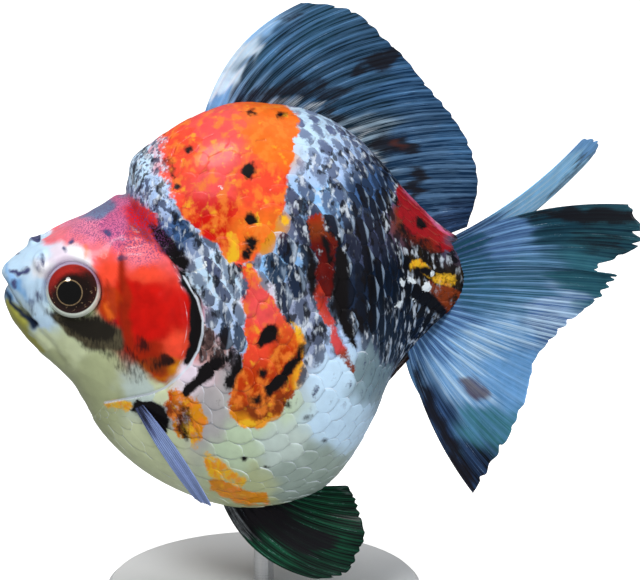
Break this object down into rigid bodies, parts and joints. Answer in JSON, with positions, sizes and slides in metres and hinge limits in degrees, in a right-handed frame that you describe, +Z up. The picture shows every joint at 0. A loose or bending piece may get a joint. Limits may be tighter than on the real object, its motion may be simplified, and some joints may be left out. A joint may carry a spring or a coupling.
{
  "type": "calico ryukin fancy goldfish",
  "caption": "Still life-size model of a deep-bodied calico fancy goldfish with a tall back fin and a split tail, held on a small round stand by one rod.",
  "frame": {"origin": "middle of the stand's underside, on the rod's axis", "axes": "+Z up, -X the way the fish heads, -Y its left side"},
  "size_m": [0.1273, 0.067, 0.1247],
  "materials": {
    "scaled_skin": "gloss",
    "gill_plate": "gloss",
    "eye": "polished",
    "fin": "satin",
    "stand_paint": "satin",
    "stand_steel": "satin"
  },
  "bodies": {
    "root": {"head": "scaled_skin", "lower_jaw": "scaled_skin", "gill_cover_left": "gill_plate", "gill_cover_right": "gill_plate", "eye_left": "eye", "eye_right": "eye", "trunk": "scaled_skin", "tail_stem": "scaled_skin", "dorsal_fin": "fin", "tail_fin_left": "fin", "tail_fin_right": "fin", "pectoral_fin_left": "fin", "pectoral_fin_right": "fin", "pelvic_fin_left": "fin", "pelvic_fin_right": "fin", "anal_fin_left": "fin", "anal_fin_right": "fin", "stand_base": "stand_paint", "stand_rod": "stand_steel"}
  },
  "joints": []
}
